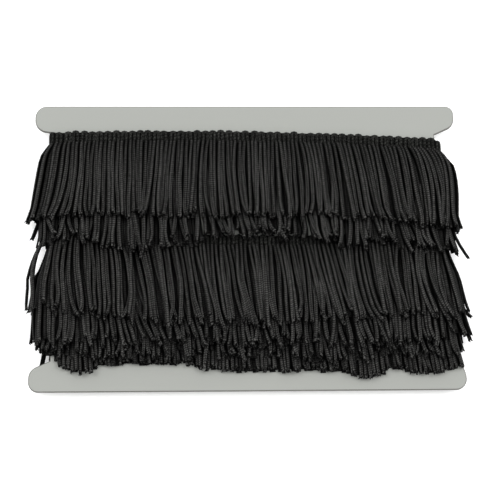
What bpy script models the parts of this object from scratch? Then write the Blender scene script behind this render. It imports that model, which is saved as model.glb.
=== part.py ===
"""Chainette fringe wound in six turns on a flat dog-bone card, lying on its back.

The frame is in metres. +X runs along the turns, +Y points from the strand tips to the headings, and +Z is up,
away from the surface that the wound card lies on. The origin is under the middle of the card, on that surface.

The fringe is one strip. Its heading starts on the back of the card and winds round the waist, each turn higher
up the card than the last, and its strands hang from the heading's lower edge and lie over the turns under them.
"""

import math
import random
from collections import namedtuple

import bmesh
import bpy
from mathutils import Vector

MM = 0.001

# The card: a board with a wide flange at each end and a narrower waist that takes the fringe.
CARD_WIDTH = 240 * MM
CARD_HEIGHT = 165 * MM
CARD_THICKNESS = 2.4 * MM
WAIST_WIDTH = 217 * MM
NECK_HEIGHT = 65.2 * MM
SHOULDER_SLOPE = math.radians(25)
FLANGE_TOP_RADIUS = 7 * MM
FLANGE_SIDE_RADIUS = 6.5 * MM
CORNER_STEPS = 6

# The fringe: a heading band with strands below it. DROP is the whole height, heading and strands.
DROP = 50.8 * MM
HEADING_HEIGHT = 6.4 * MM
STRAND_THICKNESS = 1.9 * MM
LAYER_GAP = 0.3 * MM
LAYER_PITCH = STRAND_THICKNESS + LAYER_GAP
SEAT_GAP = 0.3 * MM
BACK_LAYERS = 4
CARD_BACK_Z = SEAT_GAP + (BACK_LAYERS - 1) * LAYER_PITCH + STRAND_THICKNESS
CARD_FRONT_Z = CARD_BACK_Z + CARD_THICKNESS
CARD_MIDDLE_Z = CARD_BACK_Z + CARD_THICKNESS / 2

# Where the strip turns round the card's edge, the centre of that turn lies just inside the edge.
EDGE_X = WAIST_WIDTH / 2
WRAP_X = EDGE_X - 0.1 * MM
WRAP_LOCKS = 3

# The strip's loose ends, both on the back of the card.
INNER_END_X = -0.6 * WRAP_X
OUTER_END_X = WRAP_X / 6
INNER_END_LOCKS = 2
OUTER_END_LOCKS = 6
OUTER_END_FALL = 1 * MM
FIRST_CLIMB = 8.2 * MM

# How strands lie. A strand climbs onto a heading, or falls past the tips that covered it, over CLIMB_REACH,
# and on the back it sags to what is under it within SAG_REACH. A bend is left out where the strand stays
# within BEND_TOLERANCE without it.
LONGEST_SPAN = 27 * MM
CLIMB_CLEARANCE = 0.5 * MM
CLIMB_REACH = 8.2 * MM
HEADING_TILT = 0.4
SAG_REACH = 20 * MM
TIP_MARGIN = 4 * MM
BEND_TOLERANCE = 0.14 * MM
BEND_SAMPLE = 0.8 * MM

# How strands part and vary. Partings and the inset of a lock's outer corners are shares of its width, and the
# strands at the card's edges are cut above its lower neck.
EDGE_TIP_LIMIT = -60.5 * MM
LENGTH_SPREAD = 1.6 * MM
ROOT_PARTING = 0.10
TIP_PARTING = (0.14, 0.34)
RIDGE_INSET = 0.13
SEED = 20

# One row for each turn, in winding order, so the lowest row on the card comes first. The three heights are
# those of the heading's top edge across the front, the flares are how far the strands spread at the card's
# edges, and leans gives (x, sideways reach of the strand's tip) across the front.
Turn = namedtuple("Turn", "left middle right front_locks back_locks flare_left flare_right leans")
TURNS = (
    Turn(-20.6 * MM, -20.6 * MM, -20.6 * MM, 30, 10, 1.0 * MM, 1.5 * MM,
         ((-60 * MM, 1.0 * MM), (0, 0.5 * MM), (50 * MM, 0.5 * MM), (80 * MM, 2.0 * MM))),
    Turn(-12.4 * MM, -12.4 * MM, -12.4 * MM, 28, 10, 1.5 * MM, 2.0 * MM,
         ((-70 * MM, 2.5 * MM), (-20 * MM, 1.0 * MM), (30 * MM, 2.5 * MM), (75 * MM, 1.0 * MM))),
    Turn(-4.2 * MM, -4.2 * MM, -4.2 * MM, 28, 10, 2.0 * MM, 4.2 * MM,
         ((-80 * MM, 2.0 * MM), (-45 * MM, 4.0 * MM), (0, 2.0 * MM), (45 * MM, 4.0 * MM), (75 * MM, 2.0 * MM))),
    Turn(11.5 * MM, 5.4 * MM, 8.5 * MM, 38, 12, 3.5 * MM, 5.0 * MM,
         ((-88 * MM, 0.5 * MM), (-62 * MM, 5.0 * MM), (-20 * MM, 3.0 * MM), (15 * MM, 3.5 * MM),
          (45 * MM, 7.5 * MM), (75 * MM, 4.5 * MM))),
    Turn(50.0 * MM, 55.0 * MM, 45.0 * MM, 30, 12, 6.5 * MM, 5.5 * MM,
         ((-85 * MM, 0.0), (-40 * MM, 1.5 * MM), (10 * MM, 0.5 * MM), (55 * MM, 3.0 * MM), (85 * MM, 5.0 * MM))),
    Turn(64.0 * MM, 66.6 * MM, 62.4 * MM, 40, OUTER_END_LOCKS, 8.6 * MM, 6.0 * MM,
         ((-98 * MM, -5.0 * MM), (-86 * MM, 0.0), (-30 * MM, 0.8 * MM), (20 * MM, 1.5 * MM),
          (50 * MM, 4.0 * MM), (85 * MM, 7.5 * MM))),
)
LAST_TURN = len(TURNS) - 1
STUB = -1

CARD_COLOUR = (0.475, 0.485, 0.455, 1.0)
FRINGE_COLOUR = (0.018, 0.018, 0.017, 1.0)

# A place along the strip: the point of the card's surface that it covers, the way out from there, the height
# of the heading's top edge, and the sideways reach of a strand's tip that hangs there.
Station = namedtuple("Station", "foot out top lean")
# A stretch of the strip between two stations: which face of the card it is on, and which turn it belongs to.
Stretch = namedtuple("Stretch", "side turn")


def between(a, b, share):
    return a + (b - a) * share


def clamped(value):
    return min(1.0, max(0.0, value))


def eased(value):
    value = clamped(value)
    return value * value * (3 - 2 * value)


def read_off(knots, x):
    """The value at x of a curve that eases from knot to knot."""
    for (x0, v0), (x1, v1) in zip(knots, knots[1:]):
        if x <= x1:
            return between(v0, v1, eased((x - x0) / (x1 - x0)))
    return knots[-1][1]


def front_top(turn, x):
    """The height of a turn's heading on the front: a parabola through its left, middle and right heights."""
    row = TURNS[turn]
    u = x / EDGE_X
    return row.middle + (row.right - row.left) / 2 * u + ((row.left + row.right) / 2 - row.middle) * u * u


def back_top(turn, x):
    """The height of a turn's heading on the back, where it climbs from the right edge to the next turn's left."""
    if turn == STUB:
        return TURNS[0].left - FIRST_CLIMB * (x + EDGE_X) / (2 * EDGE_X)
    start = TURNS[turn].right
    if turn == LAST_TURN:
        return start - OUTER_END_FALL * (EDGE_X - x) / (EDGE_X - OUTER_END_X)
    return between(start, TURNS[turn + 1].left, (EDGE_X - x) / (2 * EDGE_X))


def back_turns_at(x):
    """The turns whose strip passes this x on the back, from the card outwards."""
    stub = [STUB] if x < INNER_END_X else []
    last = [LAST_TURN] if x > OUTER_END_X else []
    return stub + list(range(LAST_TURN)) + last


def front_lean(turn, x):
    row = TURNS[turn]
    return read_off(((-EDGE_X, -row.flare_left), *row.leans, (EDGE_X, row.flare_right)), x)


def back_lean(turn, x):
    """On the back a strand hangs between straight down and square to its slanting heading."""
    right = TURNS[max(turn, 0)].flare_right
    left = TURNS[min(turn + 1, LAST_TURN)].flare_left
    slope = (back_top(turn, EDGE_X) - back_top(turn, -EDGE_X)) / (2 * EDGE_X)
    inside = 0.5 * slope * (DROP - HEADING_HEIGHT)
    near = EDGE_X - 28 * MM
    return read_off(((-EDGE_X, -left), (-near, inside), (near, inside), (EDGE_X, right)), x)


def headings_under(stretch, x):
    """The top edges of the turns between this one and the card."""
    if stretch.side == "back":
        return [back_top(j, x) for j in back_turns_at(x) if j < stretch.turn]
    inner = range(stretch.turn)
    if stretch.side == "front":
        return [front_top(j, x) for j in inner]
    return [TURNS[j].left if stretch.side == "left" else TURNS[j].right for j in inner]


def headings_over(stretch, x):
    """The top edges of the turns between this one and the surface that the card lies on."""
    if stretch.side != "back":
        return []
    return [back_top(j, x) for j in back_turns_at(x) if j > stretch.turn]


def straight_stations(side, turn, start_x, end_x, count):
    """Evenly spaced places across the front or the back, the first one left out."""
    out = Vector((0, 0, 1 if side == "front" else -1))
    foot_z = CARD_FRONT_Z if side == "front" else CARD_BACK_Z
    top, lean = (front_top, front_lean) if side == "front" else (back_top, back_lean)
    found = []
    for i in range(1, count + 1):
        x = between(start_x, end_x, i / count)
        found.append(Station(Vector((x, 0, foot_z)), out, top(turn, x), lean(turn, x)))
    return found


def wrap_stations(side, turn):
    """Places round the card's edge: right goes from the front to the back, and left from the back to the front."""
    row = TURNS[turn]
    sign, first_angle, top, lean = (1, 90, row.right, row.flare_right)
    if side == "left":
        sign, first_angle, top, lean = (-1, 270, row.left, -row.flare_left)
    centre = Vector((sign * WRAP_X, 0, CARD_MIDDLE_Z))
    found = []
    for i in range(1, WRAP_LOCKS + 1):
        angle = math.radians(first_angle - 180 * i / WRAP_LOCKS)
        out = Vector((math.cos(angle), 0, math.sin(angle)))
        found.append(Station(centre + out * CARD_THICKNESS / 2, out, top, lean))
    return found


def wound_strip():
    """Every station of the strip from its inner to its outer end, and the stretches between them."""
    stations = straight_stations("back", STUB, INNER_END_X, INNER_END_X, 1)
    stretches = []

    def add(side, turn, new):
        stations.extend(new)
        stretches.extend([Stretch(side, turn)] * len(new))

    add("back", STUB, straight_stations("back", STUB, INNER_END_X, -WRAP_X, INNER_END_LOCKS))
    for turn, row in enumerate(TURNS):
        add("left", turn, wrap_stations("left", turn))
        add("front", turn, straight_stations("front", turn, -WRAP_X, WRAP_X, row.front_locks))
        add("right", turn, wrap_stations("right", turn))
        end_x = OUTER_END_X if turn == LAST_TURN else -WRAP_X
        add("back", turn, straight_stations("back", turn, WRAP_X, end_x, row.back_locks))
    return stations, stretches


def level_at(y, root_y, stretch, x):
    """How many layers out from the card the strip lies, at a height along the card.

    It climbs one layer onto each heading under it. On the back it also sags below its root, until it rests on the
    surface that the card lies on or on the turns between them.
    """
    ramps = [(top + CLIMB_CLEARANCE + CLIMB_REACH - y) / CLIMB_REACH for top in headings_under(stretch, x)]
    on_card = sum(clamped(ramp) for ramp in ramps)
    if stretch.side != "back":
        return on_card
    falls = [(y - top + DROP + TIP_MARGIN + CLIMB_REACH) / CLIMB_REACH for top in headings_over(stretch, x)]
    on_floor = BACK_LAYERS - 1 - sum(clamped(fall) for fall in falls)
    return between(on_card, max(on_card, on_floor), clamped((root_y - y) / SAG_REACH))


def surface_point(station, y, height, sideways=0.0):
    """The point that far out from the card over a station, at that height along the card."""
    point = station.foot + station.out * height
    return Vector((point.x + sideways, y, point.z))


def root_height(root_y, stretch, x):
    """How far out the heading's lower edge lies: the stiff band takes up only a part of the climb."""
    return SEAT_GAP + LAYER_PITCH * HEADING_TILT * level_at(root_y, root_y, stretch, x)


def heading_section(station, stretch):
    """The heading's four corners at a station: upper inner, upper outer, lower outer and lower inner."""
    upper, lower = station.top, station.top - HEADING_HEIGHT
    low = root_height(lower, stretch, station.foot.x)
    return (
        surface_point(station, upper, SEAT_GAP),
        surface_point(station, upper, SEAT_GAP + STRAND_THICKNESS),
        surface_point(station, lower, low + STRAND_THICKNESS),
        surface_point(station, lower, low),
    )


def farthest_off(points):
    """The index of the point that lies farthest from the chord between the first and the last, and how far."""
    (y0, h0), (y1, h1) = points[0], points[-1]
    offs = [abs(h - between(h0, h1, (y - y0) / (y1 - y0))) for y, h in points]
    worst = max(range(len(points)), key=offs.__getitem__)
    return worst, offs[worst]


def fewest_bends(points):
    """The points that a polyline needs to stay within the tolerance, after the first one."""
    worst, off = farthest_off(points)
    if off > BEND_TOLERANCE:
        return fewest_bends(points[:worst + 1]) + fewest_bends(points[worst:])
    if points[0][0] - points[-1][0] > LONGEST_SPAN:
        middle = len(points) // 2
        return [points[middle], points[-1]]
    return [points[-1]]


def level_corners(stretch, x, root_y):
    """The heights along the card where level_at changes its slope."""
    climbs = [top + CLIMB_CLEARANCE for top in headings_under(stretch, x)]
    falls = [top - DROP - TIP_MARGIN for top in headings_over(stretch, x)]
    starts = [y + CLIMB_REACH for y in climbs]
    ends = [y - CLIMB_REACH for y in falls]
    return climbs + starts + falls + ends + [root_y - SAG_REACH]


def lock_heights(stretch, x, root_y, tip_y):
    """Where a lock bends: (height along the card, height out from it) from below its root to its tip."""
    samples = math.ceil((root_y - tip_y) / BEND_SAMPLE)
    stops = [between(root_y, tip_y, i / samples) for i in range(1, samples + 1)]
    stops += [y for y in level_corners(stretch, x, root_y) if tip_y < y < stops[0]]
    points = [(root_y, root_height(root_y, stretch, x))]
    for y in sorted(stops, reverse=True):
        points.append((y, SEAT_GAP + LAYER_PITCH * level_at(y, root_y, stretch, x)))
    return fewest_bends(points)


def lean_share(share):
    """How much of its sideways reach a strand has used up, that share of the way to its tip."""
    return share * (0.7 + 0.3 * share)


def lock_sections(first, second, stretch, chance):
    """The corners of a lock's cross-sections below its root, in the order of heading_section's lower edge."""
    x = (first.foot.x + second.foot.x) / 2
    root_y = (first.top + second.top) / 2 - HEADING_HEIGHT
    tip_y = root_y + HEADING_HEIGHT - DROP + chance.uniform(-LENGTH_SPREAD, LENGTH_SPREAD)
    if stretch.side in ("left", "right"):
        tip_y = max(tip_y, EDGE_TIP_LIMIT)
    tip_parting = chance.uniform(*TIP_PARTING)
    found = []
    for y, height in lock_heights(stretch, x, root_y, tip_y):
        share = (root_y - y) / (root_y - tip_y)
        parting = between(ROOT_PARTING, tip_parting, share) / 2
        slant = (first.top - second.top) / 2 * (1 - share)
        corners = []
        for near, far, rise, inset in (
            (first, second, STRAND_THICKNESS, RIDGE_INSET),
            (first, second, 0.0, 0.0),
            (second, first, 0.0, 0.0),
            (second, first, STRAND_THICKNESS, RIDGE_INSET),
        ):
            offset = slant if near is first else -slant
            here = surface_point(near, y + offset, height + rise, near.lean * lean_share(share))
            there = surface_point(far, y - offset, height + rise, far.lean * lean_share(share))
            corners.append(here.lerp(there, parting + inset))
        found.append(corners)
    return found


def extruded_to(mesh, face, corners):
    """Extrudes one face and puts its new corners in place, in the order that the old corners had."""
    made = bmesh.ops.extrude_discrete_faces(mesh, faces=[face])["faces"][0]
    for vertex, corner in zip(made.verts, corners):
        vertex.co = corner
    return made


def sweep_heading(mesh, sections):
    """Extrudes the heading through its sections, and returns the lower edge's two corners at each."""
    end = mesh.faces.new([mesh.verts.new(corner) for corner in sections[0]])
    end.copy(verts=False, edges=False).normal_flip()
    lower = [list(end.verts)[2:]]
    for section in sections[1:]:
        end = extruded_to(mesh, end, section)
        lower.append(list(end.verts)[2:])
    return lower


def grow_lock(mesh, root, sections):
    """Extrudes one lock through its sections from the heading's lower face between these corners."""
    face = next(face for face in root[0].link_faces if set(face.verts) == set(root))
    order = [root.index(vertex) for vertex in face.verts]
    for corners in sections:
        face = extruded_to(mesh, face, [corners[i] for i in order])


def build_fringe():
    stations, stretches = wound_strip()
    sections = [heading_section(stations[0], stretches[0])]
    sections += [heading_section(station, stretch) for station, stretch in zip(stations[1:], stretches)]
    mesh = bmesh.new()
    lower = sweep_heading(mesh, sections)
    chance = random.Random(SEED)
    for i, stretch in enumerate(stretches):
        root = (*lower[i], *reversed(lower[i + 1]))
        grow_lock(mesh, root, lock_sections(stations[i], stations[i + 1], stretch, chance))
    bmesh.ops.recalc_face_normals(mesh, faces=mesh.faces)
    return add_object("fringe", mesh, FRINGE_COLOUR, 0.85)


def add_object(name, mesh, colour, roughness):
    """Turns a bmesh into a named object with its own material."""
    data = bpy.data.meshes.new(name)
    mesh.to_mesh(data)
    mesh.free()
    material = bpy.data.materials.new(name)
    material.use_nodes = True
    shader = material.node_tree.nodes["Principled BSDF"]
    shader.inputs["Base Color"].default_value = colour
    shader.inputs["Roughness"].default_value = roughness
    shader.inputs["Metallic"].default_value = 0.0
    data.materials.append(material)
    made = bpy.data.objects.new(name, data)
    bpy.context.scene.collection.objects.link(made)
    return made


def arc(centre_x, centre_y, radius, start, end):
    """Points along an arc, both ends included, with angles in degrees."""
    found = []
    for i in range(CORNER_STEPS + 1):
        angle = math.radians(between(start, end, i / CORNER_STEPS))
        found.append((centre_x + radius * math.cos(angle), centre_y + radius * math.sin(angle)))
    return found


def card_quarter():
    """The card's outline in its upper right quarter, from the waist up to the top edge."""
    side = CARD_WIDTH / 2
    slope = math.degrees(SHOULDER_SLOPE)
    shoulder_x = side - FLANGE_SIDE_RADIUS * (1 - math.cos(math.radians(90 - slope)))
    shoulder_y = NECK_HEIGHT + (shoulder_x - EDGE_X) * math.tan(SHOULDER_SLOPE)
    centre_y = shoulder_y + FLANGE_SIDE_RADIUS * math.sin(math.radians(90 - slope))
    lower = arc(side - FLANGE_SIDE_RADIUS, centre_y, FLANGE_SIDE_RADIUS, slope - 90, 0)
    upper_centre = CARD_HEIGHT / 2 - FLANGE_TOP_RADIUS
    upper = arc(side - FLANGE_TOP_RADIUS, max(upper_centre, centre_y), FLANGE_TOP_RADIUS, 0, 90)
    return [(EDGE_X, NECK_HEIGHT), *lower, *upper]


def build_card():
    quarter = card_quarter()
    right = [(x, -y) for x, y in reversed(quarter)] + quarter
    outline = right + [(-x, y) for x, y in reversed(right)]
    mesh = bmesh.new()
    face = mesh.faces.new([mesh.verts.new((x, y, CARD_BACK_Z)) for x, y in outline])
    raised = bmesh.ops.extrude_face_region(mesh, geom=[face])["geom"]
    moved = [item for item in raised if isinstance(item, bmesh.types.BMVert)]
    bmesh.ops.translate(mesh, vec=(0, 0, CARD_THICKNESS), verts=moved)
    bmesh.ops.remove_doubles(mesh, verts=mesh.verts, dist=0.01 * MM)
    bmesh.ops.recalc_face_normals(mesh, faces=mesh.faces)
    return add_object("card", mesh, CARD_COLOUR, 0.7)


def clear_scene():
    for item in list(bpy.data.objects):
        bpy.data.objects.remove(item, do_unlink=True)


clear_scene()
build_card()
build_fringe()
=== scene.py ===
"""Looks for a black chainette fringe wound in six turns on a grey dog-bone card.

The frame is in metres, +X along the turns, +Y from the strand tips to the headings and +Z up, out of the
card's front. The fringe is one strip: its heading winds round the card's waist, each turn higher than the
last, and its strands hang from the heading over the turns under them.
"""

import itertools
import math
from collections import namedtuple

import bmesh
import bpy
import numpy as np
from mathutils import Matrix, Vector


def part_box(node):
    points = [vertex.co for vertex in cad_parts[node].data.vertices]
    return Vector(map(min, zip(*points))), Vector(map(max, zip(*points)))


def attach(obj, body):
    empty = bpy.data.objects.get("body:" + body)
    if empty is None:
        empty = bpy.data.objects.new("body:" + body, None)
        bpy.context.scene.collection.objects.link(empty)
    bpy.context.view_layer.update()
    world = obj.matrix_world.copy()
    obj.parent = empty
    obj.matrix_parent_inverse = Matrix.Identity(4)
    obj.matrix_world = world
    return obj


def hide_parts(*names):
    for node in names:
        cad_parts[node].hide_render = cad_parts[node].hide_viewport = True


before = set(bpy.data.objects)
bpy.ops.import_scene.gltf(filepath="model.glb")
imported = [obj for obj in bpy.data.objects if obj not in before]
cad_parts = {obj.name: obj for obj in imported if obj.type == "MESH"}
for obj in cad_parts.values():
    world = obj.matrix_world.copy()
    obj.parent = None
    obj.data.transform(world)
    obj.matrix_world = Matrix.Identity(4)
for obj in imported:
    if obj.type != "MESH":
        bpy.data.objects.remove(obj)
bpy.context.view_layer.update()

bl_info = {
    "name": "Wound chainette fringe",
    "version": (1, 0, 0),
    "blender": (4, 5, 0),
    "location": "View3D > Sidebar > Fringe",
    "description": "A chainette fringe wound on a card, with its stage",
    "category": "Add Mesh",
}

MM = 0.001
CARD_LOW, CARD_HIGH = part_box("card")
CARD_MIDDLE_Z = (CARD_LOW.z + CARD_HIGH.z) / 2

# The winding. The strip turns round the card's edge about a line just inside it.
LAYER_PITCH = 2.2 * MM
SEAT_GAP = 0.3 * MM
BACK_LAYERS = 4
EDGE_X = 108.5 * MM
WRAP_X = 108.4 * MM
INNER_END_X = -0.6 * WRAP_X
OUTER_END_X = WRAP_X / 6
OUTER_END_FALL = 1 * MM
OUTER_EDGE_FALL = 2.8 * MM
FIRST_CLIMB = 8.2 * MM

# How strands climb onto the headings under them, and sag on the back to what they lie on.
CLIMB_CLEARANCE = 0.5 * MM
CLIMB_REACH = 8.2 * MM
SAG_REACH = 20 * MM
TIP_MARGIN = 4 * MM
# At the heading's lower edge the strip has climbed this share of what its strands climb there.
HEADING_TILT = 0.4
# How soon below its root a strand lies at its own level, on the card's faces and at its edges, is lifted off
# the layer behind, and rests on the strands laid before it. Each is one over that share of its length.
FACE_STEEPNESS = 5
EDGE_STEEPNESS = 10
ROOT_STEEPNESS = 7
PILE_STEEPNESS = 8
# The most that strands laid before hold the next one up.
PILE_LIMIT = 1.5 * MM

# How strands lean and bend. A stretch's bow fades out this far from the card's edge.
STRAIGHTENING_REACH = 28 * MM
# The lowest tips of an edge's strands, where +Z is less than this much of their way out.
EDGE_TIP_LIMIT = -60.5 * MM
FRONT_FACING = 0.5
# How early a bow is widest: 1 is halfway down the strand, and less is nearer its root.
BOW_SLANT = 0.57
# How a lean grows with the share of the strand's length, and with its square.
LEAN_EARLY = 0.7
LEAN_LATE = 0.3
# The power of that share with which a strand's own shift of its tip grows.
TIP_BEND = 1.4
# A strand's middle is shifted by this share of a tip's shifts.
MIDDLE_SHIFT = 0.7
# The most strands in a clump, and how far a strand leans by itself, as a share of how far its clump does.
LARGEST_CLUMP = 4
OWN_LEAN = 0.4
# Where an edge's front strands stand off, how far those behind lean, as a share of how far the others do.
BEHIND_LEAN = 0.6
# How unevenly strands stand at their roots, in pitches, and how loose they are away from the front.
ROOT_UNEVENNESS = 0.1
BACK_LOOSENESS = 0.45
# The shares of a strand's length at which its tip starts to curl aside and to lift.
CURL_START = 0.84
TIP_LIFT_START = 0.86
# The angle, in radians, that a strand's wave runs through along its length.
WAVE_ANGLE = 9

# Pairs of strands on each stretch of the strip: across a face, and round an edge of the card.
FACES = ("front", "back")
FACE_PAIRS = 47
EDGE_PAIRS = 2
STRAND_PITCH = WRAP_X / FACE_PAIRS

# One row for each turn, in winding order, so the lowest row on the card comes first. The three heights are
# those of the heading's top edge across the front, the flares are how far the strands spread at the card's
# edges and bows are how far their middles bulge there. In millimetres, leans gives (x, sideways reach of the
# tip), bends gives (x, sideways bend of the middle) and tips gives (x, height) along the line that a front
# row's tips follow. Loose is how untidily the row lies.
Turn = namedtuple(
    "Turn", "left middle right flare_left flare_right bow_left bow_right loose leans bends tips"
)
STRAIGHT = ((-EDGE_X / MM, 0.0), (EDGE_X / MM, 0.0))
TURNS = (
    Turn(-20.6 * MM, -20.6 * MM, -20.6 * MM, 1.0 * MM, 7.0 * MM, 0.5 * MM, 0.5 * MM, 0.5,
         ((-70, 2.0), (0, 1.5), (50, 2.0), (80, 4.0), (100, 6.5), (107, 7.5)),
         STRAIGHT,
         ((-121, -60.5), (-106, -61.0), (-103.5, -68), (-92, -71.5), (-85.5, -71.5), (-82, -67.5),
          (-74, -68.7), (-65, -66.7), (-55, -67.7), (-34, -66.7), (-26, -70.3), (-4, -71.5), (23, -71.5),
          (50, -71.5), (57, -74.2), (66, -75.6), (72, -74.2), (77, -70.3), (84, -71.5), (92, -73.5),
          (99, -72.5), (105, -73), (111, -71.5), (117, -69.5))),
    Turn(-12.4 * MM, -12.4 * MM, -12.4 * MM, 1.5 * MM, 2.6 * MM, 0.5 * MM, 0.5 * MM, 1.5,
         ((-85, 3.5), (-60, 1.0), (-45, 4.5), (-28, 1.0), (-14, 8.0), (0, 0.5), (30, 3.0), (60, 5.0),
          (98, 6.0), (107, 6.0)),
         STRAIGHT,
         ((-121, -56.5), (-112, -57), (-105, -61.5), (-80, -64), (-50, -62), (-20, -64.5), (10, -63),
          (45, -66), (80, -63), (117, -62))),
    Turn(-4.2 * MM, -4.2 * MM, -4.2 * MM, 2.7 * MM, 5.6 * MM, 1.6 * MM, 1.2 * MM, 1.5,
         ((-95, 5.0), (-80, 7.0), (-66, 12.0), (-48, 8.5), (-35, 5.0), (-15, 5.5), (8, 5.5), (32, 0.5),
          (48, 2.0), (62, 8.0), (72, 10.0), (84, 1.5), (100, 4.0)),
         STRAIGHT,
         ((-121, -54.5), (-75, -56.5), (-40, -55), (0, -57.5), (35, -55.5), (70, -57), (108, -55.5),
          (116, -53.5))),
    Turn(11.5 * MM, 5.4 * MM, 8.5 * MM, 3.7 * MM, 4.4 * MM, 0.8 * MM, -1.6 * MM, 1.3,
         ((-106, -3.0), (-101, 0.5), (-92, 4.5), (-72, 4.5), (-58, 6.5), (-42, 5.0), (-31, 7.5), (-10, 6.0),
          (16, 4.2), (36, 7.0), (58, 8.5), (78, 7.5), (90, 3.0), (99, 6.0)),
         ((-96, -0.6), (-78, 1.6), (-62, 2.4), (-46, 1.6), (-30, 0.0), (-22, -0.8), (5, 0.4), (30, -0.5),
          (50, 0.5), (61, -1.8), (70, 0.0), (80, -1.5), (98, -1.5)),
         ((-121, -32), (-112, -37), (-103, -40), (-87, -41), (-67, -44), (-43, -46), (7, -46.5), (28, -45.5),
          (56, -43.5), (83, -41.5), (105, -41), (123, -42))),
    Turn(50.0 * MM, 55.0 * MM, 45.0 * MM, 3.4 * MM, 4.0 * MM, 3.0 * MM, 1.5 * MM, 1.7,
         ((-94, 1.0), (-78, 0.0), (-66, 4.0), (-56, 0.0), (-40, 2.5), (-22, 7.0), (-12, 9.0), (4, 5.0),
          (18, 0.5), (32, 8.0), (48, -2.0), (60, 3.0), (85, 6.5)),
         STRAIGHT,
         ((-119, 0.5), (-105, 0.5), (-97, 3.4), (-71, -2.3), (-57, -4.6), (-44, -1.8), (-8, 5.6), (23, 5.9),
          (43, 3.3), (57, -1.8), (74, 3.4), (90, -2.9), (107, -5.6), (117, -5.2))),
    Turn(66.3 * MM, 66.8 * MM, 62.4 * MM, 8.4 * MM, 5.6 * MM, 1.7 * MM, 4.4 * MM, 0.9,
         ((-104, -8.5), (-95, -4.5), (-86, -1.3), (-68, 0.0), (-58, -0.8), (-44, -3.2), (-31, -3.2),
          (-20, 0.0), (-10, 3.2), (6, 0.5), (24, 2.0), (34, 3.4), (44, 3.0), (54, 5.0), (78, 6.8), (98, 7.7)),
         ((-95, 1.3), (-86, -1.0), (-64, -0.5), (-40, -0.9), (-30, 0.0), (-20, -1.2), (-10, -0.8), (4, 0.0),
          (25, 0.2), (33, 1.7), (45, 0.9), (80, 0.6), (98, 1.8)),
         ((-124, 14.2), (-112, 14.5), (-104, 15.5), (-96, 17), (-27, 15.9), (35, 15.9), (68, 13.6),
          (91, 11.3), (116, 8.4))),
)
LAST_TURN = len(TURNS) - 1
STUB = -1

# How far each of an edge's front strands stands off sideways where some leave the others. Single strands that
# stray out there: (side, turn, the strand's number on its stretch) with the further reach of its last third.
STAND_OFF = {("left", 3): np.array([2.2, 3.5, -2.0, -3.9]) * MM}
STRAYS = {
    ("right", 4, 1): 3.0 * MM,
    ("right", 4, 0): 1.6 * MM,
    ("right", 4, 2): -0.8 * MM,
    ("right", 3, 2): 6.6 * MM,
    ("right", 2, 0): 3.0 * MM,
    ("right", 2, 1): 1.8 * MM,
    ("right", 2, 2): 2.8 * MM,
    ("left", 4, 1): -3.8 * MM,
    ("left", 3, 3): -2.4 * MM,
    ("left", 3, 2): -1.4 * MM,
    ("right", 5, 1): -1.0 * MM,
    ("right", 5, 2): -1.0 * MM,
    ("right", 0, 0): 1.0 * MM,
    ("left", 1, 0): -1.2 * MM,
}
STRAY_START = 0.68
STRAY_BEND = 1.5
# Single strands that end at a height of their own. The first one hangs past the card's neck, behind its lower
# flange.
LONG_TIPS = {
    ("left", 1, 0): -69.0 * MM,
    ("left", 4, 1): 4.5 * MM,
    ("right", 4, 1): -8.6 * MM,
    ("right", 4, 2): -5.0 * MM,
    ("right", 3, 2): -40.8 * MM,
    ("right", 2, 1): -52.0 * MM,
    ("right", 2, 2): -54.0 * MM,
}

# A straight stretch runs from x = start to x = end. Round an edge these are angles about the edge's line.
Stretch = namedtuple("Stretch", "side turn start end pairs")
# Where the strip lies at each of several places: arrays with one row for each place.
Places = namedtuple("Places", "foot out along top lean bow")

# A layer of strands on the strip: where it stands in the strands' pitch, how far out it lies, how thick and
# wide its strands are, and how loose. The front layer stands half a pitch from the one behind.
Layer = namedtuple("Layer", "offset lift thickness width looseness")
FRONT_OFFSET = 0.5
UNDER_LOOSENESS = 0.2

# The shares of a strand's length at which it has a ring of corners.
STRAND_RINGS = (0.0, 0.03, 0.08, 0.16, 0.26, 0.37, 0.48, 0.6, 0.72, 0.84, 0.94, 1.0)
STRAND_SIDES = 6
STRAND_SAMPLES = 64
# A cord's cross-section: 1 is round and less is flatter on its faces, with rounder edges.
SQUARENESS = 0.7
# How a strand's width changes along its length: (share of its length, share of its full width).
STRAND_SWELL = ((0, 0.84), (0.16, 0.88), (0.4, 1.0), (0.84, 1.0), (0.94, 0.96), (1.0, 0.94))
# How much the strands differ in width, and from where on their tips differ more.
WIDTH_SPREAD = 0.06
TIP_WIDTH_SPREAD = 0.13
TIP_START = 0.94
# How deep a cut tip's hollow is, in thicknesses of the strand, and its size as a share of the tip's.
HOLLOW_DEPTH = 0.5
HOLLOW_WIDTH = 0.45
# How far above the floor a strand's middle stays at the card's edges, as a share of its width.
EDGE_FLOOR_GAP = 0.65

# How many loose yarns show at each cut tip, and their rings' places along the strand's own pattern.
LOOSE_ENDS = 5
LOOSE_END_SIDES = 3
LOOSE_END_MARKS = (0.97, 0.985, 1.0)
LOOSE_END_TAPER = (1.0, 1.0, 0.6)
# A loose yarn starts this far inside the tip, and this far from its middle, as shares of its width and
# thickness. The shortest one has this share of the longest one's reach.
LOOSE_END_ROOT = 0.5 * MM
LOOSE_END_SPREAD = (0.36, 0.3)
LOOSE_END_SHORTEST = 0.3
# How much a loose yarn splays by its place in the tip, and by itself, sideways and outwards. In reaches, how
# far it hangs down and how far it splays, to its middle and from there to its end.
SPLAY_BY_PLACE = 0.4
SPLAY_BY_ITSELF = (0.7, 0.6)
LOOSE_END_HANG = (0.4, 0.35)
LOOSE_END_SPLAY = (0.3, 0.6)

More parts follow.
